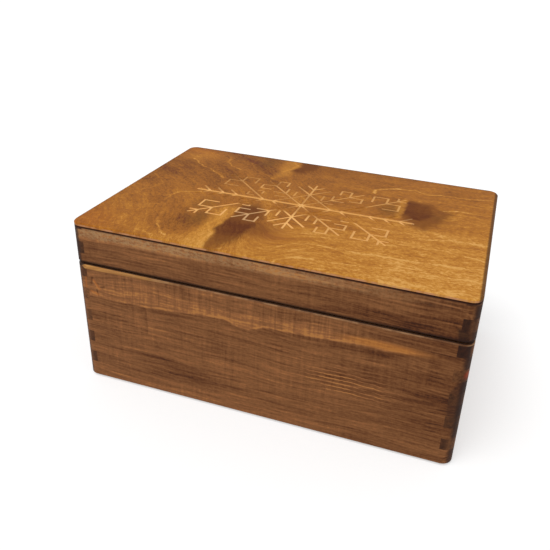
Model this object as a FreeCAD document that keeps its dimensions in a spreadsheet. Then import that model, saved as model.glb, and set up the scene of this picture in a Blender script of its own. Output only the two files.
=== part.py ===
import FreeCAD, Part
import os

import Sketcher

# Keepsake box in pine with a plywood top, hinged at the back. It is jointed and glued up as a
# closed carcass, rounded over outside, and then sawn apart into a base and a lid, so the fingers
# of every corner run on across the saw cut. The lid's panel carries a carved ornament.
# Frame: +Z up, the front faces -Y, the origin is the middle of the underside. Millimetres.

document = FreeCAD.newDocument("keepsake_box")

SIZES = [
    ("box_length", 300, "outside, left to right"),
    ("box_depth", 200, "outside, front to back"),
    ("box_height", 140, "outside, closed"),
    ("board_thickness", 10, "carcass boards"),
    ("corner_radius", 8, "upright corners, seen from above"),
    ("bottom_bevel", 2, "outer edge round the underside"),
    ("rim_bevel", 1.2, "outer edges along the saw cut"),
    ("seam_bevel", 0.5, "outer edge of the carcass below the top panel"),
    ("first_finger", 15, "lowest finger of the front and back boards"),
    ("finger_width", 10, "every finger above it"),
    ("lid_height", 33.3, "lid, with its panel"),
    ("saw_gap", 0.8, "between the rims of the closed box"),
    ("top_panel_thickness", 3, "plywood glued on the carcass"),
    ("top_bevel", 1, "upper edge of that panel"),
    ("bottom_panel_thickness", 4, "plywood in the rebate below"),
    ("bottom_rebate_width", 5, "how far the rebate cuts into a board"),
    ("bottom_panel_clearance", 0.1, "between the panel and the rebate's walls"),
    ("hinge_length", 30, "each hinge, along its pin"),
    ("hinge_inset", 55, "hinge's middle from the end of the box"),
    ("hinge_leaf_width", 8, "leaf on the rim, measured from the back face"),
    ("hinge_leaf_thickness", 1, "each leaf"),
    ("hinge_leaf_gap", 0.3, "between the closed leaves"),
    ("hinge_barrel_diameter", 4, "knuckles, outside"),
    ("hinge_barrel_clearance", 0.3, "between the barrel and the back face"),
    ("hinge_knuckle_gap", 0.3, "between neighbouring knuckles"),
    ("hinge_pin_diameter", 2, "pin"),
    ("hinge_pin_overhang", 0.4, "each end of the pin past the barrel"),
    ("pin_grip_clearance", 0.02, "pin in the base leaf's knuckles, radial"),
    ("pin_running_clearance", 0.05, "pin in the lid leaf's knuckle, radial"),
    ("mortise_clearance", 0.1, "round a leaf let into the rim"),
    ("screw_spacing", 18, "the two screws of a leaf"),
    ("screw_length", 8, "shank below the head"),
    ("screw_diameter", 1.8, "shank"),
    ("screw_head_diameter", 3.4, "countersunk head, as deep as the leaf"),
    ("screw_slot_length", 2.6, "driver slot"),
    ("screw_slot_width", 0.5, "driver slot"),
    ("screw_slot_depth", 0.35, "driver slot"),
    ("screw_clearance", 0.05, "round a screw in its hole, radial, and under its end"),
    ("carving_width", 1.8, "each carved stroke"),
    ("carving_depth", 0.3, "each carved stroke"),
    ("carving_shift_x", -1.6, "ornament's middle from the lid's middle"),
    ("carving_shift_y", -1.2, "ornament's middle from the lid's middle"),
    ("carving_tilt", 0.4, "degrees the hand-drawn ornament is turned by"),
    ("crossbar_reach", 91.5, "long stroke from left to right, half of it"),
    ("upright_reach", 47, "stroke from front to back, half of it"),
    ("diamond_reach", 24.8, "where the slanted strokes cross the upright and the crossbar"),
    ("leg_run", 14.2, "slanted strokes past the upright, measured sideways"),
    ("fork_height", 36.8, "where the upright forks"),
    ("fork_run", 7.3, "prongs of that fork, measured sideways"),
    ("inner_stem_reach", 32.6, "where the inner stem meets its hooks"),
    ("inner_stem_tail", 10, "inner stem past its hooks"),
    ("inner_hook_arm", 11.4, "first stroke of an inner hook"),
    ("inner_hook_turn", 8.7, "second and third strokes of an inner hook"),
    ("arrow_reach", 19.9, "corner of the arrow on the inner stem"),
    ("arrow_arm", 10, "strokes of the arrow"),
    ("tick_reach", 12.1, "distance of the lone ticks from both axes"),
    ("tick_gap", 4.6, "from the inner stem to a lone tick"),
    ("tick_arm", 10, "length of a lone tick"),
    ("outer_stem_start", 32.4, "where the outer stem leaves the crossbar"),
    ("outer_stem_rise", 31.8, "outer stem up to its hooks"),
    ("outer_stem_tail", 14, "outer stem past its hooks"),
    ("outer_hook_arm", 11.6, "first stroke of an outer hook"),
    ("outer_hook_turn", 12, "second and third strokes of an outer hook"),
    ("tail_cross_rise", 8.4, "small corner on the outer stem's tail"),
    ("tail_cross_arm", 6.3, "strokes of that corner"),
    ("barb_rise", 11.6, "small corners beside the outer stem"),
    ("barb_offset", 5.6, "how far they stand off the stem, along each axis"),
    ("barb_arm", 5.2, "strokes of those corners"),
    ("chevron_start", 56, "first slanted tick on the crossbar"),
    ("chevron_pitch", 12.1, "from one of these ticks to the next"),
    ("chevron_run", 8.8, "length of these ticks, measured along the crossbar"),
]
CHEVRON_COUNT = 3
CARVING_OVERCUT = 1

sheet = document.addObject("Spreadsheet::Sheet", "sizes")
for row, (alias, size, meaning) in enumerate(SIZES, start=1):
    sheet.set(f"A{row}", alias)
    sheet.set(f"B{row}", str(size))
    sheet.set(f"C{row}", meaning)
    sheet.setAlias(f"B{row}", alias)
document.recompute()


def sized(text):
    """An expression on the sheet: every word of the text that is an alias points to its cell."""
    aliases = {alias for alias, _, _ in SIZES}
    return " ".join(f"sizes.{word}" if word in aliases else word for word in text.split())


def bind(item, **properties):
    """Bind properties of an object, such as Length or Placement__Base__x, to expressions."""
    for name, text in properties.items():
        item.setExpression(name.replace("__", "."), sized(text))
    return item


def place(item, x, y, z):
    return bind(item, Placement__Base__x=x, Placement__Base__y=y, Placement__Base__z=z)


# Places that several pieces share
CARCASS_TOP = "( box_height - top_panel_thickness )"
LID_RIM = "( box_height - lid_height )"
BASE_RIM = "( box_height - lid_height - saw_gap )"
BACK_FACE = "( box_depth / 2 )"
AXIS_Y = "( box_depth / 2 + hinge_barrel_clearance + hinge_barrel_diameter / 2 )"
AXIS_Z = "( box_height - lid_height - saw_gap / 2 )"
SCREW_Y = "( box_depth / 2 - hinge_leaf_width / 2 )"
HINGE_X = {"left": "( hinge_inset - box_length / 2 )", "right": "( box_length / 2 - hinge_inset )"}
KNUCKLE = "( ( hinge_length - 2 * hinge_knuckle_gap ) / 3 )"


def box(name, x, y, z, length, width, height):
    """A block given by its lowest corner and its sizes along X, Y and Z."""
    block = document.addObject("Part::Box", name)
    bind(block, Length=length, Width=width, Height=height)
    return place(block, x, y, z)


def centred_box(name, z, length, width, height):
    """A block centred left to right and front to back."""
    return box(name, f"- {length} / 2", f"- {width} / 2", z, length, width, height)


def rod(name, x, radius, length):
    """A cylinder along the hinge axis that starts at x."""
    cylinder = document.addObject("Part::Cylinder", name)
    cylinder.Placement.Rotation = FreeCAD.Rotation(FreeCAD.Vector(0, 1, 0), 90)
    bind(cylinder, Radius=radius, Height=length)
    return place(cylinder, x, AXIS_Y, AXIS_Z)


def fuse(name, shapes):
    joined = document.addObject("Part::MultiFuse", name)
    joined.Shapes = shapes
    return joined


def group(name, shapes):
    """Pieces kept as separate solids."""
    together = document.addObject("Part::Compound", name)
    together.Links = shapes
    return together


def cut(name, base, tool):
    difference = document.addObject("Part::Cut", name)
    difference.Base = base
    difference.Tool = tool
    return difference


def common(name, base, tool):
    overlap = document.addObject("Part::Common", name)
    overlap.Base = base
    overlap.Tool = tool
    return overlap


def origin_plane(body, role):
    return next(plane for plane in body.Origin.OriginFeatures if plane.Role == role)


def level_edges(feature, height):
    """Names of the edges that lie flat at one height."""
    names = []
    for number, edge in enumerate(feature.Shape.Edges, start=1):
        bounds = edge.BoundBox
        if abs(bounds.ZMin - height) < 1e-6 and abs(bounds.ZMax - height) < 1e-6:
            names.append(f"Edge{number}")
    return names


def rounded_rectangle(sketch):
    """The box's outline from above: four sides and four tangent corners about the middle."""
    half_length, half_depth, corner = 100, 60, 10
    corners = [(1, 1), (-1, 1), (-1, -1), (1, -1)]
    for index, (across, along) in enumerate(corners):
        centre = FreeCAD.Vector(across * (half_length - corner), along * (half_depth - corner), 0)
        circle = Part.Circle(centre, FreeCAD.Vector(0, 0, 1), corner)
        quarter = 3.141592653589793 / 2
        sketch.addGeometry(Part.ArcOfCircle(circle, index * quarter, (index + 1) * quarter), False)
    for index in range(4):
        start = sketch.getPoint(index, 2)
        end = sketch.getPoint((index + 1) % 4, 1)
        sketch.addGeometry(Part.LineSegment(start, end), False)
    for index in range(4):
        side, following = index + 4, (index + 1) % 4
        sketch.addConstraint(Sketcher.Constraint("Tangent", index, 2, side, 1))
        sketch.addConstraint(Sketcher.Constraint("Tangent", side, 2, following, 1))
        direction = "Horizontal" if index % 2 == 0 else "Vertical"
        sketch.addConstraint(Sketcher.Constraint(direction, side))
    for index in range(1, 4):
        sketch.addConstraint(Sketcher.Constraint("Equal", 0, index))
    sketch.addConstraint(Sketcher.Constraint("Symmetric", 0, 3, 2, 3, -1, 1))
    measures = [
        ("corner", Sketcher.Constraint("Radius", 0, corner), "corner_radius"),
        ("length", Sketcher.Constraint("DistanceX", 5, 1, 7, 1, 2 * half_length), "box_length"),
        ("depth", Sketcher.Constraint("DistanceY", 6, 1, 4, 1, 2 * half_depth), "box_depth"),
    ]
    for name, constraint, text in measures:
        number = sketch.addConstraint(constraint)
        sketch.renameConstraint(number, name)
        sketch.setExpression(f"Constraints.{name}", sized(text))


def slab(name, z, height, **bevels):
    """A body with the box's outline from z upwards. lower and upper are the bevels round its edges."""
    body = document.addObject("PartDesign::Body", name)
    sketch = body.newObject("Sketcher::SketchObject", f"{name}_outline")
    sketch.AttachmentSupport = (origin_plane(body, "XY_Plane"), [""])
    sketch.MapMode = "FlatFace"
    bind(sketch, AttachmentOffset__Base__z=z)
    rounded_rectangle(sketch)
    pad = body.newObject("PartDesign::Pad", f"{name}_pad")
    pad.Profile = sketch
    bind(pad, Length=height)
    document.recompute()
    levels = {"lower": pad.Shape.BoundBox.ZMin, "upper": pad.Shape.BoundBox.ZMax}
    shaped = pad
    for side, size in bevels.items():
        bevel = body.newObject("PartDesign::Chamfer", f"{name}_{side}_bevel")
        bevel.Base = (shaped, level_edges(shaped, levels[side]))
        bind(bevel, Size=size)
        body.Tip = shaped = bevel
        document.recompute()
    return body


pieces = []


def piece(node, item):
    """Name a finished piece of the box."""
    item.Label = node
    pieces.append(item)
    return item


# Carcass: four boards whose fingers lock at the corners. The front and back boards have finger
# slots at their ends, and the side boards are cut to fill them.


def finger_slots():
    """The stretches of height at both ends of the box that belong to the side boards."""
    start, width = sheet.first_finger, sheet.finger_width
    top = sheet.box_height - sheet.top_panel_thickness
    layers = []
    while start + 2 * width * len(layers) < top:
        number = len(layers)
        height = f"first_finger + {2 * number} * finger_width"
        layer = centred_box(f"finger_layer_{number}", height, "box_length", "box_depth", "finger_width")
        layers.append(layer)
    ends = group("board_ends", [
        box("left_board_end", "- box_length / 2", "- box_depth / 2", "0",
            "board_thickness", "box_depth", CARCASS_TOP),
        box("right_board_end", "box_length / 2 - board_thickness", "- box_depth / 2", "0",
            "board_thickness", "box_depth", CARCASS_TOP),
    ])
    return common("finger_slots", ends, group("finger_layers", layers))


def carcass_boards():
    """The four boards at full height, before the lid is sawn off."""
    slots = finger_slots()
    long_boards = {}
    for side, y in (("front", "- box_depth / 2"), ("back", "box_depth / 2 - board_thickness")):
        blank = box(f"{side}_blank", "- box_length / 2", y, "0",
                    "box_length", "board_thickness", CARCASS_TOP)
        long_boards[side] = cut(f"{side}_carcass_board", blank, slots)
    both = group("front_and_back", list(long_boards.values()))
    boards = dict(long_boards)
    for side, x in (("left", "- box_length / 2"), ("right", "box_length / 2 - board_thickness")):
        blank = box(f"{side}_blank", x, "- box_depth / 2", "0",
                    "board_thickness", "box_depth", CARCASS_TOP)
        boards[side] = cut(f"{side}_carcass_board", blank, both)
    return boards


# Hinges: two butt hinges let into the rims at the back, with the barrel just behind the box so
# that the lid can fold right back.


def screw_outline(name, x, z, points_up, clearance):
    """A countersunk wood screw with its flat head at z, wider all round by the clearance."""
    shank_radius = f"screw_diameter / 2 + {clearance}"
    head = document.addObject("Part::Cone", f"{name}_head")
    bind(head, Radius1=f"screw_head_diameter / 2 + {clearance}", Radius2=shank_radius,
         Height="hinge_leaf_thickness")
    shank = document.addObject("Part::Cylinder", f"{name}_shank")
    bind(shank, Radius=shank_radius, Height=f"screw_length + {clearance}")
    for part, start in ((head, "0"), (shank, "hinge_leaf_thickness")):
        if not points_up:
            part.Placement.Rotation = FreeCAD.Rotation(FreeCAD.Vector(1, 0, 0), 180)
        place(part, x, SCREW_Y, f"{z} + {start}" if points_up else f"{z} - {start}")
    return fuse(f"{name}_outline", [head, shank])


def screw(name, x, z, points_up):
    """A screw with the slot for the driver across its head."""
    floor = z if points_up else f"{z} - screw_slot_depth"
    slot = box(f"{name}_slot", f"{x} - screw_slot_width / 2", f"{SCREW_Y} - screw_slot_length / 2",
               floor, "screw_slot_width", "screw_slot_length", "screw_slot_depth")
    return cut(name, screw_outline(name, x, z, points_up, "0"), slot)


def leaf_screws(hinge, half, z, points_up):
    """The two screws of a leaf, as one piece, and the holes that they need."""
    screws, holes = [], []
    for number, way in ((1, "-"), (2, "+")):
        x = f"( {HINGE_X[hinge]} {way} screw_spacing / 2 )"
        screws.append(screw(f"{hinge}_{half}_screw_{number}", x, z, points_up))
        holes.append(screw_outline(f"{hinge}_{half}_hole_{number}", x, z, points_up, "screw_clearance"))
    piece(f"{hinge}_hinge_{half}_screws", group(f"{hinge}_{half}_screws", screws))
    return group(f"{hinge}_{half}_holes", holes)


def leaf(hinge, half, z, knuckles, bore_radius, holes):
    """A hinge leaf: the plate on the rim, and at each knuckle a tongue that wraps the pin."""
    name = f"{hinge}_hinge_{half}_leaf"
    left_end = f"( {HINGE_X[hinge]} - hinge_length / 2 )"
    plate = box(f"{name}_plate", left_end, f"{BACK_FACE} - hinge_leaf_width", z,
                "hinge_length", "hinge_leaf_width", "hinge_leaf_thickness")
    shapes = [plate]
    for number, start in enumerate(knuckles, start=1):
        x = f"{left_end} + {start}"
        tongue_length = "hinge_barrel_clearance + hinge_barrel_diameter / 2"
        shapes.append(box(f"{name}_tongue_{number}", x, BACK_FACE, z,
                          KNUCKLE, tongue_length, "hinge_leaf_thickness"))
        shapes.append(rod(f"{name}_knuckle_{number}", x, "hinge_barrel_diameter / 2", KNUCKLE))
    bore = rod(f"{name}_pin_bore", left_end, bore_radius, "hinge_length")
    bored = cut(f"{name}_bored", fuse(f"{name}_solid", shapes), bore)
    return piece(name, cut(name, bored, holes))


def pin(hinge):
    """The pin, as long as the barrel and a little more."""
    name = f"{hinge}_hinge_pin"
    body = document.addObject("PartDesign::Body", name)
    sketch = body.newObject("Sketcher::SketchObject", f"{name}_section")
    sketch.AttachmentSupport = (origin_plane(body, "YZ_Plane"), [""])
    sketch.MapMode = "FlatFace"
    bind(sketch, AttachmentOffset__Base__z="- hinge_length / 2 - hinge_pin_overhang")
    sketch.addGeometry(Part.Circle(FreeCAD.Vector(0, 0, 0), FreeCAD.Vector(0, 0, 1), 1), False)
    sketch.addConstraint(Sketcher.Constraint("Coincident", 0, 3, -1, 1))
    number = sketch.addConstraint(Sketcher.Constraint("Diameter", 0, 2))
    sketch.renameConstraint(number, "diameter")
    sketch.setExpression("Constraints.diameter", sized("hinge_pin_diameter"))
    pad = body.newObject("PartDesign::Pad", f"{name}_pad")
    pad.Profile = sketch
    bind(pad, Length="hinge_length + 2 * hinge_pin_overhang")
    return piece(name, place(body, HINGE_X[hinge], AXIS_Y, AXIS_Z))


def hinges():
    """Both hinges. Gives what each rim has to make room for: mortises and screw holes."""
    room = {"base": [], "lid": []}
    faces = {
        "base": (f"( {AXIS_Z} - hinge_leaf_gap / 2 )", "- hinge_leaf_thickness", False),
        "lid": (f"( {AXIS_Z} + hinge_leaf_gap / 2 )", "", True),
    }
    knuckles = {
        "base": ["0", f"hinge_length - {KNUCKLE}"],
        "lid": [f"hinge_knuckle_gap + {KNUCKLE}"],
    }
    bores = {
        "base": "hinge_pin_diameter / 2 + pin_grip_clearance",
        "lid": "hinge_pin_diameter / 2 + pin_running_clearance",
    }
    for hinge in ("left", "right"):
        for half, (face, down, points_up) in faces.items():
            holes = leaf_screws(hinge, half, face, points_up)
            leaf(hinge, half, f"{face} {down}", knuckles[half], bores[half], holes)
            floor = f"{face} {down}" if half == "base" else LID_RIM
            depth = "hinge_leaf_thickness + hinge_leaf_gap / 2 - saw_gap / 2"
            mortise = box(f"{hinge}_{half}_mortise",
                          f"{HINGE_X[hinge]} - hinge_length / 2 - mortise_clearance",
                          f"{BACK_FACE} - hinge_leaf_width - mortise_clearance", floor,
                          "hinge_length + 2 * mortise_clearance",
                          "hinge_leaf_width + mortise_clearance", depth)
            room[half] += [mortise, holes]
        pin(hinge)
    return {half: group(f"{half}_hinge_room", shapes) for half, shapes in room.items()}


# Carving: one quarter of the ornament, mirrored left to right and front to back. Each stroke is
# a straight groove with a flat floor. In the quarter, across runs along the crossbar and along
# runs up the upright, both from the ornament's middle.

strokes = []


def stroke(across, along, run, angle):
    """A groove from a point at an angle: run is how far it goes along each axis that it follows."""
    name = f"stroke_{len(strokes) + 1}"
    groove = document.addObject("Part::Box", name)
    groove.Placement.Rotation = FreeCAD.Rotation(FreeCAD.Vector(0, 0, 1), angle)
    slanted = angle % 90 != 0
    length = f"( {run} ) * sqrt(2)" if slanted else run
    bind(groove, Length=f"{length} + carving_width", Width="carving_width",
         Height=f"carving_depth + {CARVING_OVERCUT}")
    # the groove's corner lies half a width back and half a width to the right of its start
    back = FreeCAD.Rotation(FreeCAD.Vector(0, 0, 1), angle).multVec(FreeCAD.Vector(-1, -1, 0))
    place(groove, f"{across} + {back.x:.6f} * carving_width / 2",
          f"{along} + {back.y:.6f} * carving_width / 2", "- carving_depth")
    strokes.append(groove)


def hook_pair(stem_start, rise, arm, turn):
    """Two square hooks on a slanted stem, each the mirror image of the other about the stem."""
    across, along = f"( {stem_start} + {rise} )", rise
    stroke(across, along, arm, 0)
    stroke(f"{across} + {arm}", along, turn, -90)
    stroke(f"{across} + {arm}", f"{along} - {turn}", turn, 180)
    stroke(across, along, arm, 90)
    stroke(across, f"{along} + {arm}", turn, 180)
    stroke(f"{across} - {turn}", f"{along} + {arm}", turn, -90)


def quarter_of_ornament():
    stroke("0", "0", "crossbar_reach", 0)
    stroke("0", "0", "upright_reach", 90)
    stroke("0", "diamond_reach", "diamond_reach", -45)
    stroke("0", "diamond_reach", "leg_run", 45)
    stroke("0", "fork_height", "fork_run", 45)
    for number in range(CHEVRON_COUNT):
        stroke(f"chevron_start + {number} * chevron_pitch", "0", "chevron_run", 45)
    # the inner stem, its hooks, arrow and lone ticks
    stroke("0", "0", "inner_stem_reach + inner_stem_tail", 45)
    hook_pair("0", "inner_stem_reach", "inner_hook_arm", "inner_hook_turn")
    for angle in (0, 90):
        stroke("arrow_reach", "arrow_reach", "arrow_arm", angle)
    stroke("tick_reach + tick_gap", "tick_reach", "tick_arm", 0)
    stroke("tick_reach", "tick_reach + tick_gap", "tick_arm", 90)
    # the outer stem, its hooks, the corner on its tail and the two small corners beside it
    stroke("outer_stem_start", "0", "outer_stem_rise + outer_stem_tail", 45)
    hook_pair("outer_stem_start", "outer_stem_rise", "outer_hook_arm", "outer_hook_turn")
    tail = "( outer_stem_rise + tail_cross_rise )"
    for angle in (0, 90):
        stroke(f"outer_stem_start + {tail}", tail, "tail_cross_arm", angle)
    for side, angles in (("-", (0, -90)), ("+", (90, 180))):
        other = "+" if side == "-" else "-"
        for angle in angles:
            stroke(f"outer_stem_start + barb_rise {side} barb_offset",
                   f"barb_rise {other} barb_offset", "barb_arm", angle)
    return fuse("ornament_quarter", strokes)


def mirrored(name, source, normal):
    twin = document.addObject("Part::Mirroring", f"{name}_twin")
    twin.Source = source
    twin.Normal = normal
    return fuse(name, [source, twin])


def ornament():
    """The whole ornament as the body that the carving takes out of the panel."""
    half = mirrored("ornament_half", quarter_of_ornament(), FreeCAD.Vector(1, 0, 0))
    whole = mirrored("ornament", half, FreeCAD.Vector(0, 1, 0))
    bind(whole, Placement__Rotation__Angle="carving_tilt")
    return place(whole, "carving_shift_x", "carving_shift_y", "box_height")


# Assembly of the pieces


def base_and_lid():
    boards = carcass_boards()
    room = hinges()
    base_outline = slab("base_outline", "0", BASE_RIM, lower="bottom_bevel", upper="rim_bevel")
    lid_outline = slab("lid_outline", LID_RIM, "lid_height - top_panel_thickness",
                       lower="rim_bevel", upper="seam_bevel")
    open_length = "( box_length - 2 * board_thickness + 2 * bottom_rebate_width )"
    open_depth = "( box_depth - 2 * board_thickness + 2 * bottom_rebate_width )"
    rebate = centred_box("bottom_rebate", "0", open_length, open_depth, "bottom_panel_thickness")
    for side, board in boards.items():
        rounded = common(f"{side}_base_rounded", board, base_outline)
        rebated = cut(f"{side}_base_rebated", rounded, rebate)
        sawn = common(f"{side}_lid_rounded", board, lid_outline)
        if side == "back":
            rebated = cut("back_base_mortised", rebated, room["base"])
            sawn = cut("back_lid_mortised", sawn, room["lid"])
        piece(f"base_{side}_board", rebated)
        piece(f"lid_{side}_rail", sawn)
    panel = centred_box("bottom_panel", "0", f"( {open_length} - 2 * bottom_panel_clearance )",
                        f"( {open_depth} - 2 * bottom_panel_clearance )", "bottom_panel_thickness")
    piece("base_bottom_panel", panel)
    top = slab("top_panel", CARCASS_TOP, "top_panel_thickness", upper="top_bevel")
    piece("lid_top_panel", cut("carved_top_panel", top, ornament()))


def check_and_write():
    """Stop on any object that failed, then write each piece to a file of its own."""
    document.recompute()
    for item in document.Objects:
        if "Invalid" in item.State or "Error" in item.State:
            raise RuntimeError(f"{item.Name} failed: {item.State}")
    for item in pieces:
        if item.Shape.isNull() or not item.Shape.isValid():
            raise RuntimeError(f"{item.Label} has no valid shape")
    os.makedirs("parts", exist_ok=True)
    for item in pieces:
        item.Shape.exportStep(f"parts/{item.Label}.step")
        print(item.Label, len(item.Shape.Solids), round(item.Shape.Volume, 1))


base_and_lid()
check_and_write()
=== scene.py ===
import math
from functools import reduce

import bpy
from mathutils import Matrix, Vector


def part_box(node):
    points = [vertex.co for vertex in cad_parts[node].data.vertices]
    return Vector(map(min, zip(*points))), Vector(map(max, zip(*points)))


# The looks of a keepsake box: a pine carcass stained brown, a birch plywood lid panel stained
# honey with a carved ornament, and two small brass hinges. Every surface is shaded from its place
# on the box, so all marks stay on the wood when the lid opens. Lengths in the shading are in
# millimetres, in the box's own frame: x to the right, y to the back, z up.

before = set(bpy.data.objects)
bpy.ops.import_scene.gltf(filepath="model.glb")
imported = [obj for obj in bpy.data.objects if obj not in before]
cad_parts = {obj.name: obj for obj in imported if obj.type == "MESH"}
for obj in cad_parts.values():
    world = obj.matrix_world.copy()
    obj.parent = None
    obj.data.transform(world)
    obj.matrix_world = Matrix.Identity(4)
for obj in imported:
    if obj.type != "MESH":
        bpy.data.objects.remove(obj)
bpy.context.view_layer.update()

MM = 0.001


def size_of(node):
    """Lowest and highest corner of a piece of the box, in millimetres."""
    low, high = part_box(node)
    return low / MM, high / MM


TOP_PANEL_LOW, TOP_PANEL_HIGH = size_of("lid_top_panel")
FRONT_LOW, FRONT_HIGH = size_of("base_front_board")
BASE_RIM = FRONT_HIGH.z
LID_RIM = size_of("lid_front_rail")[0].z
SEAM = TOP_PANEL_LOW.z
TOP = TOP_PANEL_HIGH.z
HALF_LENGTH = TOP_PANEL_HIGH.x
HALF_DEPTH = TOP_PANEL_HIGH.y
BOARD = FRONT_HIGH.y - FRONT_LOW.y

# the sockets of a Mix node share their names, so they are told apart by number
NUMBER_BELOW, NUMBER_ABOVE, NUMBER_OUT = 2, 3, 0
COLOUR_BELOW, COLOUR_ABOVE, COLOUR_OUT = 6, 7, 2


# Shading tools: a number or a colour that varies over a surface is the output of a shader node.


def linear(code):
    """The linear colour of a screen colour such as #A0522D, by the sRGB formula."""
    channels = [int(code[i:i + 2], 16) / 255 for i in (1, 3, 5)]
    return [c / 12.92 if c <= 0.04045 else ((c + 0.055) / 1.055) ** 2.4 for c in channels] + [1]


class Field:
    """A number that varies over a surface. It adds and multiplies with others and with plain numbers."""

    def __init__(self, surface, socket):
        self.surface = surface
        self.socket = socket

    def __add__(self, other):
        return self.surface.math("ADD", self, other)

    def __radd__(self, other):
        return self.surface.math("ADD", other, self)

    def __sub__(self, other):
        return self.surface.math("SUBTRACT", self, other)

    def __rsub__(self, other):
        return self.surface.math("SUBTRACT", other, self)

    def __mul__(self, other):
        return self.surface.math("MULTIPLY", self, other)

    def __rmul__(self, other):
        return self.surface.math("MULTIPLY", other, self)

    def __abs__(self):
        return self.surface.math("ABSOLUTE", self)


class Surface:
    """A material in the making: its place on the box in millimetres, its normal, and its nodes."""

    def __init__(self, name):
        self.material = bpy.data.materials.new(name)
        self.material.use_nodes = True
        self.tree = self.material.node_tree
        self.tree.nodes.clear()
        place = self.node("ShaderNodeTexCoord")
        in_mm = self.node("ShaderNodeVectorMath", operation="SCALE")
        self.feed(in_mm.inputs["Scale"], 1 / MM)
        self.feed(in_mm.inputs[0], place.outputs["Object"])
        self.x, self.y, self.z = self.split(in_mm.outputs[0])
        self.facing = dict(zip("xyz", self.split(place.outputs["Normal"])))

    def node(self, kind, **settings):
        node = self.tree.nodes.new(kind)
        for name, value in settings.items():
            setattr(node, name, value)
        return node

    def feed(self, socket, value):
        """Connect a field or an output to a socket, or set the socket to a plain value."""
        if isinstance(value, Field):
            value = value.socket
        if isinstance(value, bpy.types.NodeSocket):
            self.tree.links.new(value, socket)
        else:
            socket.default_value = value

    def split(self, vector):
        parts = self.node("ShaderNodeSeparateXYZ")
        self.feed(parts.inputs[0], vector)
        return [Field(self, output) for output in parts.outputs]

    def math(self, operation, *values):
        node = self.node("ShaderNodeMath", operation=operation)
        for socket, value in zip(node.inputs, values):
            self.feed(socket, value)
        return Field(self, node.outputs[0])

    def most(self, *values):
        return reduce(lambda one, other: self.math("MAXIMUM", one, other), values)

    def least(self, *values):
        return reduce(lambda one, other: self.math("MINIMUM", one, other), values)

    def square(self, value):
        return value * value

    def rise(self, value, start, end):
        """0 before start, 1 past end, smooth between. With start above end it falls instead."""
        node = self.node("ShaderNodeMapRange", interpolation_type="SMOOTHSTEP")
        self.feed(node.inputs["Value"], value)
        self.feed(node.inputs["From Min"], start)
        self.feed(node.inputs["From Max"], end)
        return Field(self, node.outputs["Result"])

    def window(self, value, low, high, soft):
        """1 between low and high, fading to 0 over the soft width outside."""
        return self.rise(value, low - soft, low) * self.rise(value, high + soft, high)

    def noise(self, x, y, z=0, detail=3, roughness=0.55):
        """Smooth random numbers from 0 to 1, about one bump for every unit of x, y and z."""
        place = self.node("ShaderNodeCombineXYZ")
        for socket, value in zip(place.inputs, (x, y, z)):
            self.feed(socket, value)
        node = self.node("ShaderNodeTexNoise")
        self.feed(node.inputs["Vector"], place.outputs[0])
        self.feed(node.inputs["Scale"], 1)
        self.feed(node.inputs["Detail"], detail)
        self.feed(node.inputs["Roughness"], roughness)
        return Field(self, node.outputs["Fac"])

    def blot(self, x, y, centre, reach, soft):
        """1 in the middle of an ellipse, fading to 0 at its rim. soft is the share that fades."""
        across = (x - centre[0]) * (1 / reach[0])
        along = (y - centre[1]) * (1 / reach[1])
        far = self.math("SQRT", self.square(across) + self.square(along))
        return self.rise(far, 1, 1 - soft)

    def area(self, x, y, corners, soft):
        """1 inside an outline without hollows, its corners given clockwise, with a soft edge."""
        depths = []
        for (x0, y0), (x1, y1) in zip(corners, corners[1:] + corners[:1]):
            run, climb = x1 - x0, y1 - y0
            length = math.hypot(run, climb)
            depths.append((x - x0) * (climb / length) - (y - y0) * (run / length))
        return self.rise(self.least(*depths), -soft / 2, soft / 2)

    def square_from_line(self, x, y, start, end):
        """The square of the distance from the straight line between two points."""
        (x0, y0), (x1, y1) = start, end
        run, climb = x1 - x0, y1 - y0
        length_squared = run * run + climb * climb
        share_of_y = (y - y0) * (climb / length_squared)
        share = self.math("MULTIPLY_ADD", x - x0, run / length_squared, share_of_y)
        share = self.least(self.most(share, 0), 1)
        return self.square(x - x0 - share * run) + self.square(y - y0 - share * climb)

    def path(self, x, y, points, width):
        """1 on the line through the points, fading to 0 at half the width on both sides."""
        pieces = [self.square_from_line(x, y, start, end) for start, end in zip(points, points[1:])]
        return self.rise(self.math("SQRT", self.least(*pieces)), width / 2, 0)

    def strokes(self, x, y, *lines):
        """1 on any of several lines, each a width and the points that it runs through."""
        return self.most(*[self.path(x, y, points, width) for width, points in lines])

    def ramp(self, value, stops):
        """A colour that runs through the stops, each a share from 0 to 1 and a linear colour."""
        node = self.node("ShaderNodeValToRGB")
        elements = node.color_ramp.elements
        while len(elements) < len(stops):
            elements.new(0.5)
        for element, (share, colour) in zip(elements, stops):
            element.position = share
            element.color = colour
        self.feed(node.inputs["Fac"], value)
        return node.outputs["Color"]

    def colours(self, value, *stops):
        """A colour that runs through the stops, each a share and a screen colour, as value grows."""
        return self.ramp(value, [(share, linear(code)) for share, code in stops])

    def profile(self, value, *points):
        """A number that runs straight from point to point, each a place and a number, as value grows."""
        start, end = points[0][0], points[-1][0]
        low = min(level for _, level in points)
        span = max(level for _, level in points) - low
        stops = []
        for place, level in points:
            share = (level - low) / span
            stops.append(((place - start) / (end - start), (share, share, share, 1)))
        shares = self.ramp((value - start) * (1 / (end - start)), stops)
        return Field(self, shares) * span + low

    def tint(self, share, below, above):
        """Mixes a colour, given as an output or a screen colour, over another by a share."""
        node = self.node("ShaderNodeMix", data_type="RGBA")
        self.feed(node.inputs["Factor"], share)
        for number, colour in ((COLOUR_BELOW, below), (COLOUR_ABOVE, above)):
            self.feed(node.inputs[number], linear(colour) if isinstance(colour, str) else colour)
        return node.outputs[COLOUR_OUT]

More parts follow.
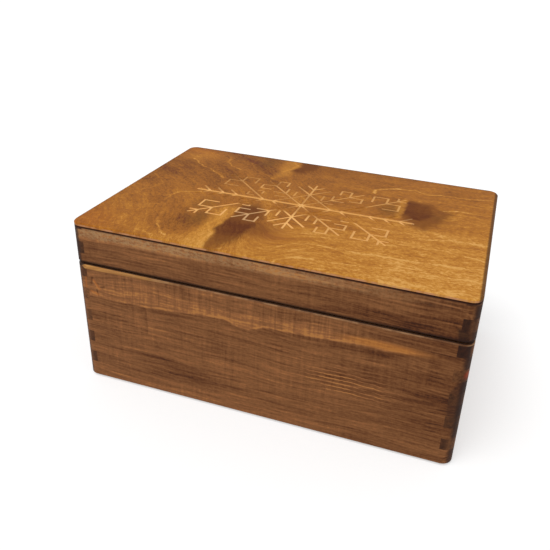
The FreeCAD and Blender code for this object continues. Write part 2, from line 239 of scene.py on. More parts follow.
    def finish(self, colour, roughness, relief, relief_mm, **constants):
        """The shader itself. relief is a height from 0 to 1 that stands for relief_mm."""
        bump = self.node("ShaderNodeBump")
        self.feed(bump.inputs["Height"], relief)
        self.feed(bump.inputs["Distance"], relief_mm * MM)
        shader = self.node("ShaderNodeBsdfPrincipled")
        self.feed(shader.inputs["Base Color"], colour)
        self.feed(shader.inputs["Roughness"], roughness)
        self.feed(shader.inputs["Normal"], bump.outputs["Normal"])
        for name, value in constants.items():
            self.feed(shader.inputs[name.replace("_", " ")], value)
        output = self.node("ShaderNodeOutputMaterial")
        self.tree.links.new(shader.outputs["BSDF"], output.inputs["Surface"])
        return self.material


# Lid panel: rotary-cut birch, whose growth rings show as wavy contour lines.

# each light line is a ring's edge: how clear it is, how wide, and the points that it runs through
RING_LINES = [
    (1.0, 3.0, [(-131, 66), (-115, 52), (-103, 44), (-85, 31)]),
    (0.7, 3.6, [(-101, 86), (-97, 71), (-89, 62), (-79, 55)]),
    (0.4, 4.0, [(-75, 93), (-75, 75), (-65, 61), (-43, 47)]),
    (0.55, 3.0, [(-143, 15), (-133, 5), (-127, -3), (-129, -14), (-136, -25)]),
    (0.65, 3.4, [(-88, -7), (-102, -14), (-107, -24), (-107, -36)]),
    (0.8, 4.0, [(-97, -57), (-93, -71), (-84, -84), (-75, -92)]),
    (0.4, 4.0, [(-122, -52), (-112, -46), (-103, -44)]),
    (1.1, 5.5, [(49, 49), (48, 58), (57, 65), (68, 69)]),
    (0.8, 3.6, [(66, 69), (82, 70), (93, 66), (112, 69), (147, 74)]),
    (0.8, 3.0, [(108, 34), (118, 38), (147, 40)]),
    (0.55, 3.6, [(99, -27), (122, -20), (147, -17)]),
    (0.4, 3.0, [(96, -42), (118, -38), (147, -45)]),
    (0.55, 3.6, [(6, -80), (16, -70), (28, -65), (60, -66), (100, -63), (147, -58)]),
    (0.4, 3.6, [(17, -91), (50, -86), (90, -81), (142, -77)]),
    (0.4, 3.6, [(-146, -90), (-110, -88), (-85, -95)]),
]

# wide clouds in the stain: how much lighter the wood is there, their middle and their reach
STAIN_CLOUDS = [
    (0.42, (-128, 78), (40, 34)),
    (0.11, (-5, 12), (80, 34)),
    (-0.12, (-62, 82), (20, 30)),
    (-0.08, (-135, 25), (32, 40)),
    (-0.06, (70, 22), (26, 24)),
    (-0.34, (-74, -66), (34, 34)),
    (0.14, (105, -80), (80, 40)),
    (0.08, (80, 75), (40, 34)),
]

# the rings bend round a place beyond the front left corner, and run level past the middle
RINGS_CENTRE = (-230, -120)
SLANTED_UNTIL, LEVEL_FROM = -40, 30

# how softly the dark patches end on their frayed side
FRAYED_EDGE = 12


def across_rings(s, x, y):
    """How far across the rings a place lies."""
    round_left = s.math("SQRT", s.square(x - RINGS_CENTRE[0]) + s.square(y - RINGS_CENTRE[1]))
    level_right = y * 0.65 + 262
    return round_left + (level_right - round_left) * s.rise(x, SLANTED_UNTIL, LEVEL_FROM)


def along_rings(s, x, y):
    """How far along the rings a place lies."""
    slanted = x * 0.65 - y * 0.76
    return slanted + (x - slanted) * s.rise(x, SLANTED_UNTIL, LEVEL_FROM)


class BirchGrain:
    """The panel's place, bent a little so that nothing on it runs straight, and its figure."""

    def __init__(self, s):
        sway = s.noise(s.x * 0.03, s.y * 0.04, 7.1) - 0.5
        drift = s.noise(s.x * 0.035, s.y * 0.03, 5.2) - 0.5
        shiver = s.noise(s.x * 0.16, s.y * 0.16, 1.7) - 0.5
        self.x = s.x + sway * 5 + shiver * 5
        self.y = s.y + drift * 8 + shiver * 4
        self.across = across_rings(s, self.x, self.y)
        along = along_rings(s, self.x, self.y)
        self.bands = s.noise(self.across * 0.07, along * 0.008, 9.4, detail=2)
        self.clouds = s.noise(self.x * 0.03, self.y * 0.05, 6.6)
        self.fibre = s.noise(self.across * 0.4, along * 0.06, 2.2, detail=4, roughness=0.65)
        self.pores = s.noise(self.across * 1.2, along * 0.28, 8.8, detail=2)
        self.specks = s.noise(s.x * 0.5, s.y * 0.6, 3.5, roughness=0.7)


def ring_tone(s, grain):
    """How much lighter the rings' edges are: those of the photograph, and faint ones between."""
    lines = s.most(*[s.path(grain.x, grain.y, points, width) * clear
                     for clear, width, points in RING_LINES])
    rings = s.math("FRACT", grain.across * 0.06 + (grain.clouds - 0.5) * 1.2)
    faint = s.rise(rings, 0.86, 0.97) * s.rise(rings, 1.0, 0.97) * 0.07
    broken = s.rise(s.noise(grain.x * 0.08, grain.y * 0.08, 5.5), 0.3, 0.6)
    return (lines * 0.5 + faint) * (broken * 0.5 + 0.5)


def birch_tone(s, grain):
    """From 0, dark brown, to 1, light gold: the wood is darker at the back and to the left."""
    tone = grain.x * 0.0011 - grain.y * 0.0019 + 0.49
    for lighter, centre, reach in STAIN_CLOUDS:
        tone = tone + s.blot(grain.x, grain.y, centre, reach, 1) * lighter
    tone = tone + (grain.bands - 0.5) * 0.55 + (grain.clouds - 0.5) * 0.4
    tone = tone + (grain.fibre - 0.5) * 0.75 + (grain.pores - 0.5) * 0.65 + (grain.specks - 0.5) * 0.7
    return tone + ring_tone(s, grain)


def dark_right(s, x, y, frayed):
    upper = s.area(frayed, y, [(70, 47), (99, 42), (106, 22), (97, 4), (84, 8), (70, 26)],
                   FRAYED_EDGE)
    lower = s.area(frayed, y, [(70, 45), (124, 31), (112, 10), (106, -12), (90, -6), (70, 14)],
                   FRAYED_EDGE)
    haze = s.blot(x, y, (98, 16), (30, 32), 1)
    return s.most(upper, lower * 0.7, haze * 0.4) * s.rise(x, 77.5, 80.5)


def dark_front(s, x, y, frayed):
    upper = s.area(frayed, y, [(-60, -17), (-27, -20), (-21, -36), (-24, -54), (-60, -54)],
                   FRAYED_EDGE)
    lower_corners = [(-60, -42), (-20, -46), (-12, -62), (-22, -80), (-25, -115), (-60, -115)]
    lower = s.area(frayed, y, lower_corners, FRAYED_EDGE)
    haze = s.blot(x, y, (-20, -58), (30, 26), 1)
    depth = s.profile(y, (-105, 0.6), (-82, 0.75), (-68, 1), (-50, 1))
    left_edge = s.profile(y, (-105, -42), (-88, -44), (-76, -44), (-67, -47), (-58, -46), (-47, -44),
                          (-18, -45))
    return s.most(upper * 0.9, lower, haze * 0.6) * depth * s.rise(x - left_edge, -2, 2)


def dark_back(s, x, y, frayed):
    body = s.area(frayed, y, [(-50, 115), (-8, 115), (-14, 84), (-24, 69), (-50, 76)], FRAYED_EDGE)
    haze = s.blot(x, y, (-4, 90), (38, 24), 1)
    left_edge = s.profile(y, (60, -36), (76, -35), (86, -29), (100, -33))
    return s.most(body, haze * 0.45) * s.rise(x - left_edge, -2, 2)


def dark_patches(s, grain):
    """Three places where the stain sank in, each with a sharp left edge and a wide frayed rest."""
    frayed = grain.x + (grain.fibre - 0.5) * 16
    place = grain.x, grain.y, frayed
    return s.most(dark_right(s, *place), dark_front(s, *place), dark_back(s, *place) * 0.85)


def gold_bands(s, x, y):
    """Light bands along the left edges of the dark patches."""
    front = [(-54, -30), (-50, -47), (-55, -64), (-46, -75), (-49, -88), (-43, -102)]
    back = [(-42, 102), (-34, 86), (-41, 68)]
    right = [(76, 46), (74, 30), (76, 8)]
    return s.most(
        s.path(x, y, front, 11),
        s.area(x, y, [(-58, -26), (-44, -26), (-42, -110), (-60, -110)], 9) * 0.6,
        s.path(x, y, back, 10),
        s.area(x, y, [(-49, 110), (-31, 110), (-33, 60), (-44, 46)], 9) * 0.6,
        s.path(x, y, right, 9) * 0.6,
    )


def smoke(s, x, y):
    """Dim places beside the gold bands."""
    return s.most(
        s.blot(x, y, (-66, -55), (14, 24), 1),
        s.blot(x, y, (-74, -30), (16, 22), 0.8) * 0.8,
        s.blot(x, y, (-38, -22), (16, 12), 1) * 0.8,
        s.blot(x, y, (68, 22), (16, 24), 1),
        s.blot(x, y, (-62, 84), (16, 26), 1),
    )


def honey_stain(s, grain, blotch):
    """The stained wood, before the ornament is cut into it."""
    x, y = grain.x, grain.y
    gold = gold_bands(s, x, y)
    colour = s.colours(birch_tone(s, grain) + gold * 0.34, (0, "#61280A"), (0.2, "#7F4B12"),
                       (0.45, "#995D1D"), (0.65, "#AC6E23"), (0.85, "#C18536"), (1, "#D39C52"))
    rust = s.most(s.blot(x, y, (-150, -95), (50, 45), 1), s.blot(x, y, (-150, 100), (60, 30), 1))
    colour = s.tint(rust * 0.25, colour, "#B45E16")
    colour = s.tint(gold * 0.4, colour, "#C98A2E")
    colour = s.tint(smoke(s, x, y) * 0.5, colour, "#6A430C")
    mottled = s.blot(x, y, (-8, -60), (28, 24), 1) * s.rise(grain.specks, 0.35, 0.6)
    colour = s.tint(mottled * 0.5, colour, "#8E4A1E")
    uneven = (grain.clouds - 0.5) * 0.9 + (grain.fibre - 0.5) * 0.7 + (grain.specks - 0.5) * 0.6
    return s.tint(blotch * (0.88 + uneven), colour, "#5C2C0A")


def rubbed_strokes(s):
    """1 where the ornament is nearly rubbed away."""
    return s.most(
        s.window(s.y, -15.5, -7, 2) * s.rise(abs(s.x + 2), 5, 11),
        s.window(s.y, 2.5, 16, 2) * s.window(s.x, 24, 76, 3),
        s.area(s.x, s.y, [(-90, 52), (-68, 52), (-68, 34), (-90, 34)], 5) * 0.9,
        s.area(s.x, s.y, [(-50, 52), (-37, 52), (-32, 32), (-50, 32)], 5) * 0.9,
    )


def fresh_strokes(s):
    """1 where the ornament is at its palest: its long middle stroke and most of the front half."""
    return s.most(
        s.window(s.y, -3.5, 1.5, 1),
        s.blot(s.x, s.y, (-3, -34), (34, 22), 0.5),
        s.area(s.x, s.y, [(-110, -16), (-20, -16), (-20, -60), (-110, -60)], 3) * 0.9,
        s.area(s.x, s.y, [(20, -16), (90, -16), (90, -60), (20, -60)], 3) * 0.5,
        s.blot(s.x, s.y, (-2, 36), (10, 16), 0.5) * 0.5,
        s.window(s.x, -46, -18, 3) * s.window(s.y, 22, 48, 3) * 0.35,
        s.window(s.x, 20, 80, 3) * s.window(s.y, 20, 48, 3) * 0.25,
    )


def ornament(s, colour, blotch, inside):
    """The strokes are cut through the stain into pale wood, and the long one has a worn edge."""
    level = s.rise(s.facing["z"], 0.8, 0.95)
    floors = s.rise(s.z, TOP - 0.1, TOP - 0.2) * level * inside
    walls = s.rise(s.z, TOP - 0.02, TOP - 0.1) * inside * (1 - level)
    clear = (1 - rubbed_strokes(s) * 0.88) * (0.42 + fresh_strokes(s) * 0.58)
    pale = s.tint(blotch * 0.6, "#E6B06A", "#B4967A")
    colour = s.tint(s.most(walls, floors) * clear, colour, pale)

    off_middle_stroke = abs(s.y + 1.2 - (s.x + 1.6) * 0.007)
    brighter = s.rise(off_middle_stroke, 2, 1.3) * s.window(s.x, -93, 89, 0.5) * level * inside
    return s.tint(brighter * 0.6, colour, "#D69C52")


def panel_edges(s, colour, fibre, inside):
    """The sheet's front edge is light and a little pink, partly its own colour and partly a painted
    highlight; its back and side edges are painted shade, as are a thin rim of the top beside them and
    the seam below.
    """
    edge = s.rise(s.z, TOP - 1, TOP - 1.3) * (1 - inside)
    front = s.rise(s.facing["y"], -0.3, -0.6)
    # painted highlight on the front edge, uneven along its length, and painted shade on the back and
    # side edges
    patchy_highlight = s.rise(s.noise(s.x * 0.15, 8.2), 0.35, 0.6) * 0.7 + 0.2
    colour = s.tint(edge * (front * patchy_highlight + (1 - front)), colour, s.tint(front, "#6A4424", "#C48A60"))
    # painted shade on a thin rim of the top along its right, left and back edges
    painted_rim_shade = s.most(s.rise(s.x, HALF_LENGTH - 3.2, HALF_LENGTH - 1.8),
                 s.rise(s.x, 1.8 - HALF_LENGTH, 0.6 - HALF_LENGTH),
                 s.rise(s.y, HALF_DEPTH - 3, HALF_DEPTH - 1.2))
    colour = s.tint(painted_rim_shade * 0.8, colour, "#40240E")
    underside = s.rise(s.facing["z"], -0.5, -0.9)
    colour = s.tint(underside, colour, s.colours(fibre, (0.3, "#8A6038"), (0.7, "#A87C4C")))
    # painted shade in the seam under the sheet
    seam = s.rise(s.z, SEAM + 0.7, SEAM + 0.4) * (1 - underside)
    return s.tint(seam, colour, "#2A0C04")


def birch_plywood():
    s = Surface("honey_stained_birch_plywood")
    grain = BirchGrain(s)
    blotch = dark_patches(s, grain)
    inside = s.window(s.x, -105, 105, 2) * s.window(s.y, -60, 60, 2)
    colour = honey_stain(s, grain, blotch)
    colour = ornament(s, colour, blotch, inside)
    colour = panel_edges(s, colour, grain.fibre, inside)
    relief = grain.fibre * 0.4 + grain.pores * 0.4 + grain.specks * 0.2
    roughness = 0.5 + grain.fibre * 0.16 + blotch * 0.08
    return s.finish(colour, roughness, relief, 0.12, Specular_IOR_Level=0.08)


# Carcass: pine boards. The grain runs along each board, and its ends soak up more stain.


class PineGrain:
    """The figure of a board whose grain runs along axis. Boards with other seeds look different."""

    def __init__(self, s, axis, seed):
        along, depth = (s.x, s.y) if axis == "x" else (s.y, s.x)
        sway = s.noise(along * 0.008, s.z * 0.02, depth * 0.02 + seed, detail=2) - 0.5
        self.height = s.z + sway * 16
        broad = s.noise(along * 0.007, self.height * 0.08, depth * 0.08 + seed, detail=2)
        self.streaks = s.noise(along * 0.018, self.height * 0.3, depth * 0.3 + seed,
                               detail=4, roughness=0.6)
        self.hairs = s.noise(along * 0.04, self.height * 0.75, depth * 0.75 + seed, roughness=0.6)
        self.planer = s.noise(along * 0.33, s.z * 0.02, depth * 0.1 + seed, roughness=0.65)
        patchy = s.noise(along * 0.02, s.z * 0.03, seed + 4.4, detail=2)
        specks = s.noise(along * 0.35, s.z * 0.5, depth * 0.5 + seed, roughness=0.7)
        tone = 0.57 + (broad - 0.5) * 0.5 + (self.streaks - 0.5) * 1.1 + (self.hairs - 0.5) * 0.95
        tone = tone + (self.planer - 0.5) * s.rise(patchy, 0.35, 0.65) * 0.6
        self.tone = tone + (specks - 0.5) * 0.65


def thin_stain_inside(s, colour, tone):
    in_x = s.rise(abs(s.x), HALF_LENGTH - BOARD + 0.3, HALF_LENGTH - BOARD)
    in_y = s.rise(abs(s.y), HALF_DEPTH - BOARD + 0.3, HALF_DEPTH - BOARD)
    return s.tint(in_x * in_y * 0.6, colour, s.colours(tone, (0.2, "#80562F"), (0.9, "#A87A4A")))


def corners_dirt_and_painted_shade(s, colour):
    """Dirt and painted shade on the rounded corners, most on the lid's left and half way up on the
    right.
    """
    corner = s.rise(abs(s.facing["x"]), 0.3, 0.75) * s.rise(abs(s.facing["y"]), 0.1, 0.35)
    left = s.profile(s.z, (0, 0.6), (BASE_RIM, 0.7), (LID_RIM, 1), (TOP, 1))
    right = s.profile(s.z, (0, 0.2), (28, 0.3), (36, 0.8), (72, 0.8), (82, 0.2), (95, 0.5),
                      (110, 0.35), (TOP, 0.5))
    at_front = right + (left - right) * s.rise(s.x, 10, -10)
    elsewhere = 0.4
    dirt_and_shade = elsewhere + (at_front - elsewhere) * s.rise(s.y, 20, -20)
    # dirt and painted shade on the rounded corners
    colour = s.tint(corner * dirt_and_shade, colour, "#2A140A")
    # more dirt and painted shade on a strip at the lid's front left corner, above the gap
    lid_left = s.rise(s.x, 7.5 - HALF_LENGTH, 5.5 - HALF_LENGTH) * s.rise(s.z, BASE_RIM, LID_RIM)
    return s.tint(lid_left * s.rise(s.y, -80, -95) * 0.8, colour, "#2C160C")


def lip_painted_highlight(s, colour, seed, hairs):
    """A painted highlight on the bevel of the base's rim, widest and brightest at the front left."""
    uneven = s.noise(s.x * 0.06, s.y * 0.06, seed + 3.1)
    brighter = s.rise(s.x + uneven * 50, -10, -110) * s.rise(s.x, 5 - HALF_LENGTH, 9 - HALF_LENGTH)
    brighter = brighter * s.rise(s.y, 20, -60)
    foot = BASE_RIM - 1.3 - brighter * 2.2
    lip = s.rise(s.z, foot - 0.5, foot) * s.rise(s.z, BASE_RIM - 0.3, BASE_RIM - 0.7)
    # the painted highlight's colours: uneven along the front, and lightest at the front left
    dull = s.tint(s.rise(uneven, 0.4, 0.6), "#5E3C24", "#A07A56")
    highlight_colour = s.colours(hairs, (0.35, "#A46C34"), (0.65, "#CE9654"))
    return s.tint(lip * (0.65 + brighter * 0.25), colour, s.tint(brighter, dull, highlight_colour))


def gap_and_seam_painted_shade(s, colour):
    """Painted shade in the gap on both sides of the saw cut, widest at the left, and in the seam under
    the top panel.
    """
    notch = s.rise(s.x, 9 - HALF_LENGTH, 4 - HALF_LENGTH) * 1.6
    painted_rim_shade = s.rise(s.z, BASE_RIM - 0.8 - notch, BASE_RIM - 0.4 - notch)
    painted_rim_shade = painted_rim_shade * s.rise(s.z, LID_RIM + 3, LID_RIM + 1)
    # painted shade in the gap; flat rim faces get only about half of it
    level = s.rise(abs(s.facing["z"]), 0.85, 0.98)
    colour = s.tint(painted_rim_shade * (0.9 - level * 0.45), colour, "#1C0A04")
    # painted shade in the seam under the top panel
    return s.tint(s.rise(s.z, SEAM - 1.3, SEAM - 0.7) * 0.9, colour, "#2A0E05")


def pine(name, axis, seed, marks):
    """Stained pine with its grain along axis. marks adds what shows on one board alone."""
    s = Surface(name)
    grain = PineGrain(s, axis, seed)
    tone = grain.tone + marks.tone(s, grain.height)
    colour = s.colours(tone, (0, "#3B1B0B"), (0.2, "#5E3519"), (0.4, "#724727"),
                       (0.6, "#835531"), (0.8, "#945F38"), (1, "#B27740"))
    colour = marks.colour(s, colour)
    colour = thin_stain_inside(s, colour, tone)
    board_end = s.rise(abs(s.facing[axis]), 0.35, 0.75)
    end_colour = s.colours(grain.streaks, (0.3, "#1E0D06"), (0.7, "#3E2012"))
    colour = s.tint(board_end * marks.soaked(s), colour, end_colour)
    colour = corners_dirt_and_painted_shade(s, colour)
    colour = lip_painted_highlight(s, colour, seed, grain.hairs)
    colour = gap_and_seam_painted_shade(s, colour)
    relief = grain.streaks * 0.4 + grain.hairs * 0.3 + grain.planer * 0.3
    roughness = 0.52 + grain.streaks * 0.16
    return s.finish(colour, roughness, relief, 0.25, Specular_IOR_Level=0.12)


class Marks:
    """What a board shows beside its grain: nothing here, and more in the classes below."""

    def tone(self, s, height):
        """How much lighter the wood is. height is z, bent as the grain is."""
        return 0

    def colour(self, s, colour):
        """The colour with this board's own stains on it."""
        return colour

    def soaked(self, s):
        """How dark the board's ends are, from 0 to 1."""
        return 0.65


class FrontOfBase(Marks):
    """What the photographed front of the base shows and no other board."""

    def tone(self, s, height):
        wander = (s.noise(s.x * 0.06, 6.5) - 0.5) * 2.4
        return (self.growth_ring(s, wander) + self.thin_lines(s, wander) + self.clouds(s, height)
                + self.scratches(s, height) + self.knot(s))

    def growth_ring(self, s, wander):
        """A ring's edge runs across the board: light above it, a bright line, and a painted shadow line
        below it.
        """
        ring = s.profile(s.x, (-150, 78), (-115, 79), (-89, 79.6), (-71, 81.4), (-43, 83.4), (-27, 85),
                         (-16, 80.8), (-7, 80.4), (5, 85), (45, 86.6), (85, 88), (105, 89.2), (125, 92),
                         (138, 95), (150, 99))
        above = s.z + wander - ring
        clear = s.rise(s.x, 140, 90) * s.rise(s.x, -135, -100)
        broken = s.rise(s.noise(s.x * 0.09, 1.5, detail=2), 0.35, 0.6) * 0.7 + 0.3
        line = s.rise(abs(above), 1.5, 0.3) * clear * broken
        band = s.rise(above, -0.5, 1.5) * s.rise(s.z, 100, 88)
        # painted shadow line just below the bright line
        painted_shadow_below = s.window(above, -4.5, -1.5, 2) * clear
        return line * 0.46 + band * 0.2 - painted_shadow_below * 0.12

    def thin_lines(self, s, wander):
        """Level growth lines: light ones at the right, and short dark ones in three places."""
        waves = s.math("SINE", (s.z + wander * 2) * 1.9)
        light = s.rise(waves, 0.45, 1) * s.rise(s.noise(s.x * 0.05, s.z * 0.3, 7.5), 0.33, 0.53)
        dark = s.rise(waves, -0.4, -1) * s.rise(s.noise(s.x * 0.04, s.z * 0.3, 3.5), 0.42, 0.6)
        light_place = s.blot(s.x, s.z, (68, 52), (46, 16), 0.7)
        dark_places = s.most(s.blot(s.x, s.z, (-118, 58), (36, 16), 0.7),
                             s.blot(s.x, s.z, (15, 72), (40, 7), 0.8),
                             s.blot(s.x, s.z, (136, 42), (12, 34), 0.5))
        return (light - 0.15) * light_place * 0.7 - dark * dark_places * 0.3

    def clouds(self, s, height):
        """Wide light and dark places."""
        right = s.rise(s.x, 25, 150)
        dim_right = right * (s.rise(s.z, 10, 60) * 0.45 + 0.55 - s.window(s.z, 80, 90, 6) * 0.35)
        smudge = s.blot(s.x, height, (-62, 27), (58, 12), 1)
        foot = s.rise(s.z, 22, 6)
        pale = s.blot(s.x, s.z, (137, 86), (13, 9), 1)
        return (self.orange(s) * 0.3 + foot * 0.06 + pale * 0.12
                - dim_right * 0.3 - smudge * 0.34)

    def scratches(self, s, height):
        """Dark level stripes, two upright bruises, and the comb that the planer left near the rim."""
        stripes = s.strokes(s.x, height,
                            (2.4, [(-146, 78.5), (-108, 78.5)]), (2, [(-143, 64), (-113, 64)]),
                            (2, [(-142, 55), (-118, 55)]), (4, [(-144, 34.5), (-70, 35.5)]))
        bruises = s.strokes(s.x, s.z, (2, [(-79, 99), (-79, 83)]), (2.4, [(-91, 78), (-91, 55)]))
        comb = s.noise(s.x * 0.5, s.z * 0.03, 12.5, detail=2) - 0.5
        comb = comb * s.window(s.z, 84, 102, 6) * s.window(s.x, -110, 60, 40)
        return comb * 0.7 - stripes * 0.2 - bruises * 0.16

    def knot(self, s):
        """Small strokes round a hidden knot at the left."""
        dark = s.strokes(s.x, s.z, (3.2, [(-136, 95), (-137, 90)]), (3, [(-129, 88), (-126, 89)]),
                         (2.2, [(-133, 85), (-132, 80)]))
        light = s.strokes(s.x, s.z, (3, [(-137, 82), (-133, 81)]), (2.4, [(-135, 92), (-131, 86)]))
        return light * 0.3 - dark * 0.34

    def orange(self, s):
        """A long warm stain at the upper right."""
        return s.blot(s.x, s.z, (92, 91.5), (44, 5), 0.8)

    def colour(self, s, colour):
        rust = s.strokes(s.x, s.z, (2.4, [(-142, 103), (-141.5, 96), (-142, 84)]),
                         (3.4, [(-138, 83), (-132, 81)]), (3, [(-135, 93), (-130, 86)]))
        colour = s.tint(rust * 0.55, colour, "#B0642A")
        # painted shade on the front board beside the right corner's fingers
        corners = [(140, 48), (140, 66), (147, 80), (152, 80), (152, 36), (142, 36)]
        corner_shade = s.most(s.area(s.x, s.z, corners, 3), s.blot(s.x, s.z, (147, 90), (4, 8), 1))
        colour = s.tint(corner_shade * 0.5, colour, "#2C1712")
        return s.tint(self.orange(s) * 0.45, colour, "#B06A22")

    def soaked(self, s):
        return 0.8


class FrontOfLid(Marks):
    """What the photographed front of the lid shows and no other board."""

    def tone(self, s, height):
        wander = (s.noise(s.x * 0.06, 2.5) - 0.5) * 2.4
        depth = s.profile(s.x, (-150, 10), (-60, 9.5), (0, 8), (60, 6.5), (150, 4))
        below_seam = SEAM - s.z + wander
        band = s.rise(below_seam - depth, 1.2, -1.2) * s.rise(s.x, 150, 30)
        dim_right = s.rise(s.x, 25, 150)
        dim_low = s.rise(s.z, 122, 108) + s.rise(s.x, -110, -150) * 0.6
        arc = s.strokes(s.x, s.z, (2.4, [(95, 128), (125, 127), (138, 125)]),
                        (2.4, [(108, 132.5), (136, 132), (144, 128), (147.5, 120), (148, 109)]))
        smudge = s.blot(s.x, height, (112, 114), (26, 6), 1)
        warm = s.blot(s.x, s.z, (-25, 113), (55, 10), 1)
        dull = s.blot(s.x, s.z, (70, 118), (50, 16), 1)
        return (band * 0.28 + arc * 0.2 + warm * 0.14 - dim_right * 0.26 - dim_low * 0.14
                - smudge * 0.16 - dull * 0.08 - 0.03)

    def colour(self, s, colour):
        under_seam = s.rise(s.z, SEAM - 10, SEAM - 6) * s.rise(s.x, 160, -20)
        speckle = s.rise(s.noise(s.x * 0.4, s.z * 0.6, 4.4, roughness=0.7), 0.35, 0.6)
        pale = 0.5 + s.rise(s.x, -30, -70) * 0.15
        colour = s.tint(under_seam * speckle * pale, colour, "#AE8A60")
        trail = s.area(s.x, s.z, [(137.5, 117), (145.5, 117), (146.5, 105), (140, 105)], 3)
        return s.tint(trail * 0.75, colour, "#221009")

    def soaked(self, s):
        return 0.8


class EndsOfLeft(Marks):
    """The left side's finger ends, as the front shows them from the bottom to the top."""

    def tone(self, s, height):
        return s.rise(s.y, -60, -100) * -0.05

    def soaked(self, s):
        level = s.profile(s.z, (0, 0.5), (14, 0.5), (15, 0.7), (26, 0.7), (34, 0.7), (46, 0.7),
                          (54, 0.5), (66, 0.5), (74, 0.25), (86, 0.25), (94, 0.65), (110, 0.8),
                          (126, 0.75), (140, 0.6))
        outer = s.rise(s.x, 6.5 - HALF_LENGTH, 4 - HALF_LENGTH) * s.rise(s.z, LID_RIM, BASE_RIM)
        return level * (1 - outer * 0.5)


class EndsOfRight(Marks):
    """The right side's finger ends, as the front shows them from the bottom to the top."""

    def tone(self, s, height):
        return s.rise(s.y, -60, -100) * -0.1

    def colour(self, s, colour):
        red_streak = s.blot(s.x, s.z, (149, 80), (3, 5), 0.8) * s.rise(s.y, -92, -96)
        return s.tint(red_streak * 0.7, colour, "#C0481C")

    def soaked(self, s):
        level = s.profile(s.z, (0, 0.5), (14, 0.5), (15, 0.8), (26, 0.75), (34, 0.7), (46, 0.75),
                          (54, 0.75), (66, 0.75), (74, 0.4), (86, 0.3), (94, 1), (110, 1),
                          (126, 0.95), (140, 0.8))
        outer = s.rise(s.x, HALF_LENGTH - 6.5, HALF_LENGTH - 3)
        lighter = s.most(s.rise(s.z, 34, 28) * 0.6, s.rise(s.z, 106, 110) * 0.45)
        return level * (1 - outer * lighter)


# The rest of the box: its bottom and its hinges.


def bottom_plywood():
    s = Surface("thinly_stained_plywood")
    sway = s.noise(s.x * 0.01, s.y * 0.03, 4.1, detail=2) - 0.5
    figure = s.noise(s.x * 0.012, (s.y + sway * 20) * 0.1, 6.2, detail=4)
    fibre = s.noise(s.x * 0.1, s.y * 1.2, 1.1)
    tone = 0.5 + (figure - 0.5) * 0.9 + (fibre - 0.5) * 0.4
    colour = s.colours(tone, (0.1, "#7A5230"), (0.5, "#96693E"), (0.9, "#B08452"))
    return s.finish(colour, 0.6 + fibre * 0.15, fibre, 0.1, Specular_IOR_Level=0.2)


def brass():
    s = Surface("dulled_brass")
    clouds = s.noise(s.x * 0.3, s.y * 0.3, s.z * 0.3, detail=4)
    scratches = s.noise(s.x * 0.6, s.y * 6, s.z * 6, detail=2)
    colour = s.colours(clouds * 0.7 + scratches * 0.3,
                       (0.3, "#8A6A34"), (0.5, "#B8924E"), (0.7, "#D0AC66"))
    roughness = 0.28 + clouds * 0.2 + scratches * 0.1
    return s.finish(colour, roughness, scratches, 0.02, Metallic=1)


def dress_nodes():
    """Give every piece of the box its material."""
    # a side's seed sets its grain apart, and the rail above shares it, so that the grain runs on
    front, back, left, right = 0.0, 11.0, 23.0, 37.0
    finishes = {
        "base_front_board": pine("front_pine", "x", front, FrontOfBase()),
        "base_back_board": pine("back_pine", "x", back, Marks()),
        "base_left_board": pine("left_pine", "y", left, EndsOfLeft()),
        "base_right_board": pine("right_pine", "y", right, EndsOfRight()),
        "lid_front_rail": pine("lid_front_pine", "x", front, FrontOfLid()),
        "lid_back_rail": pine("lid_back_pine", "x", back, Marks()),
        "lid_left_rail": pine("lid_left_pine", "y", left, EndsOfLeft()),
        "lid_right_rail": pine("lid_right_pine", "y", right, EndsOfRight()),
        "base_bottom_panel": bottom_plywood(),
        "lid_top_panel": birch_plywood(),
    }
    metal = brass()
    for name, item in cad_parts.items():
        item.data.materials.clear()
        item.data.materials.append(finishes.get(name, metal))


# Studio. Places are in metres from here on.

CAMERA_PLACE = (0.13822, -0.45634, 0.34139)
CAMERA_TURN, CAMERA_TILT, CAMERA_ROLL = (math.radians(angle) for angle in (16.716, 26.847, 2.859))


def camera():
    """Placed by the photographed edges. The photograph is a part of a wider picture, hence the shift."""
    lens = bpy.data.cameras.new("camera")
    lens.sensor_width = 36
    lens.lens = 41.5
    lens.shift_x = -0.0501
    lens.shift_y = -0.0474
    lens.clip_start = 0.01
    lens.clip_end = 100
    eye = bpy.data.objects.new("camera", lens)
    eye.matrix_world = (Matrix.Translation(CAMERA_PLACE)
                        @ Matrix.Rotation(CAMERA_TURN, 4, "Z")
                        @ Matrix.Rotation(math.pi / 2 - CAMERA_TILT, 4, "X")
                        @ Matrix.Rotation(CAMERA_ROLL, 4, "Z"))
    bpy.context.scene.collection.objects.link(eye)
    bpy.context.scene.camera = eye


def sunlamp(direction, level, spread):
    """A wide soft lamp, far away. level is how bright it makes a white floor, on its own."""
    light = bpy.data.lights.new("key", "SUN")
    down = Vector(direction).normalized()
    light.energy = math.pi * level / -down.z
    light.angle = math.radians(spread)
    lamp = bpy.data.objects.new("key", light)
    lamp.rotation_euler = down.to_track_quat("-Z", "Y").to_euler()
    bpy.context.scene.collection.objects.link(lamp)


def seen_rays(tree):
    """1 for what the camera sees, also in a mirror or through glass, and 0 for light on the object."""
    path = tree.nodes.new("ShaderNodeLightPath")
    total = path.outputs["Is Camera Ray"]
    for name in ("Is Glossy Ray", "Is Transmission Ray"):
        either = tree.nodes.new("ShaderNodeMath")
        either.operation = "MAXIMUM"
        tree.links.new(total, either.inputs[0])
        tree.links.new(path.outputs[name], either.inputs[1])
        total = either.outputs[0]
    return total


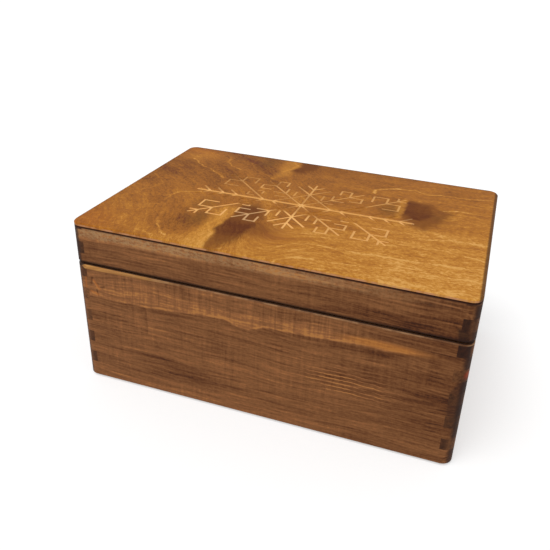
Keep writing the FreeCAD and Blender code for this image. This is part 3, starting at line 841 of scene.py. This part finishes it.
def surroundings(level):
    """White where it is seen, and a plain even light of the given level on the box."""
    world = bpy.data.worlds.new("studio")
    world.use_nodes = True
    bpy.context.scene.world = world
    tree = world.node_tree
    strength = tree.nodes.new("ShaderNodeMix")
    tree.links.new(seen_rays(tree), strength.inputs["Factor"])
    strength.inputs[NUMBER_BELOW].default_value = level
    strength.inputs[NUMBER_ABOVE].default_value = 1
    background = tree.nodes["Background"]
    background.inputs["Color"].default_value = (1, 1, 1, 1)
    tree.links.new(strength.outputs[NUMBER_OUT], background.inputs["Strength"])


def pale_floor(lit, seen, glow):
    """Lights the box as a floor of level lit does, and shows as one of level seen with a white glow."""
    material = bpy.data.materials.new("pale_floor")
    material.use_nodes = True
    tree = material.node_tree
    shader = tree.nodes["Principled BSDF"]
    shader.inputs["Roughness"].default_value = 0.9
    shader.inputs["Specular IOR Level"].default_value = 0
    colour = tree.nodes.new("ShaderNodeMix")
    colour.data_type = "RGBA"
    tree.links.new(seen_rays(tree), colour.inputs["Factor"])
    colour.inputs[COLOUR_BELOW].default_value = (lit, lit, lit, 1)
    colour.inputs[COLOUR_ABOVE].default_value = (seen, seen, seen, 1)
    tree.links.new(colour.outputs[COLOUR_OUT], shader.inputs["Base Color"])
    strength = tree.nodes.new("ShaderNodeMath")
    strength.operation = "MULTIPLY"
    tree.links.new(seen_rays(tree), strength.inputs[0])
    strength.inputs[1].default_value = glow
    shader.inputs["Emission Color"].default_value = (1, 1, 1, 1)
    tree.links.new(strength.outputs[0], shader.inputs["Emission Strength"])
    return material


def floor():
    """A large pale floor, a hair below the box so that their faces don't meet."""
    reach = 30
    mesh = bpy.data.meshes.new("floor")
    corners = [(-reach, -reach, 0), (reach, -reach, 0), (reach, reach, 0), (-reach, reach, 0)]
    mesh.from_pydata(corners, [], [(0, 1, 2, 3)])
    mesh.materials.append(pale_floor(lit=0.7, seen=0.55, glow=0.5))
    ground = bpy.data.objects.new("floor", mesh)
    ground.location.z = -0.0002
    bpy.context.scene.collection.objects.link(ground)


def studio():
    camera()
    surroundings(level=0.62)
    sunlamp(direction=(0.19, 0.43, -1), level=0.44, spread=35)
    floor()
    bpy.context.scene.view_settings.view_transform = "Standard"


studio()
dress_nodes()
